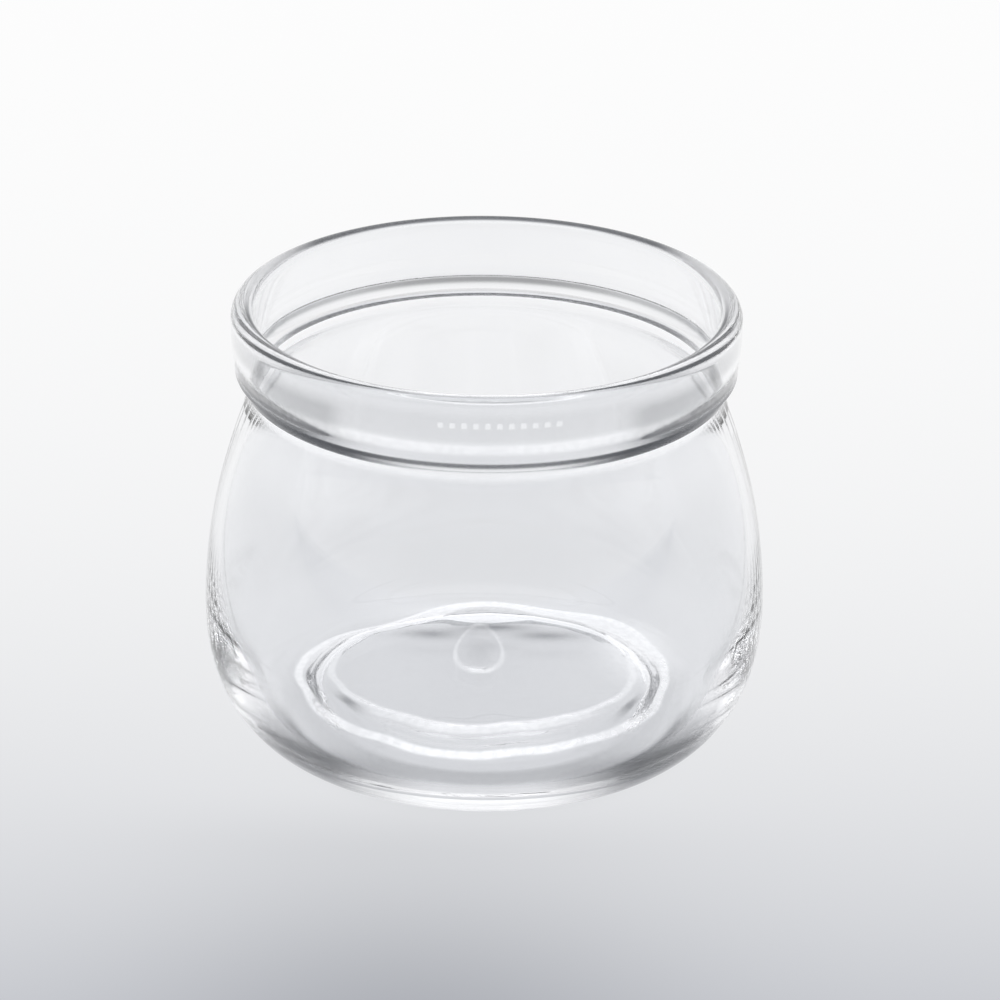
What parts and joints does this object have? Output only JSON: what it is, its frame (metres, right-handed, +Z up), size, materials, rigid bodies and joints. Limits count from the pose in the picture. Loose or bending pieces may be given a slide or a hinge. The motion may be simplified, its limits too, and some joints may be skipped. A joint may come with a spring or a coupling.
{
  "type": "preserving jar",
  "caption": "Squat, bellied open glass jar with a wide mouth, a tall rounded band round the rim and a pushed-up base, for preserves or a dessert.",
  "frame": {"origin": "on the jar's axis, at the level of the surface that it stands on", "axes": "+Z up along the jar's axis, towards the mouth; the jar is turned, so X and Y are alike"},
  "size_m": [0.11, 0.11, 0.0892],
  "materials": {
    "clear_glass": "clear, smooth and glossy, faintly cool where it is thick"
  },
  "bodies": {
    "root": {"glass_jar": "clear_glass"}
  },
  "joints": []
}
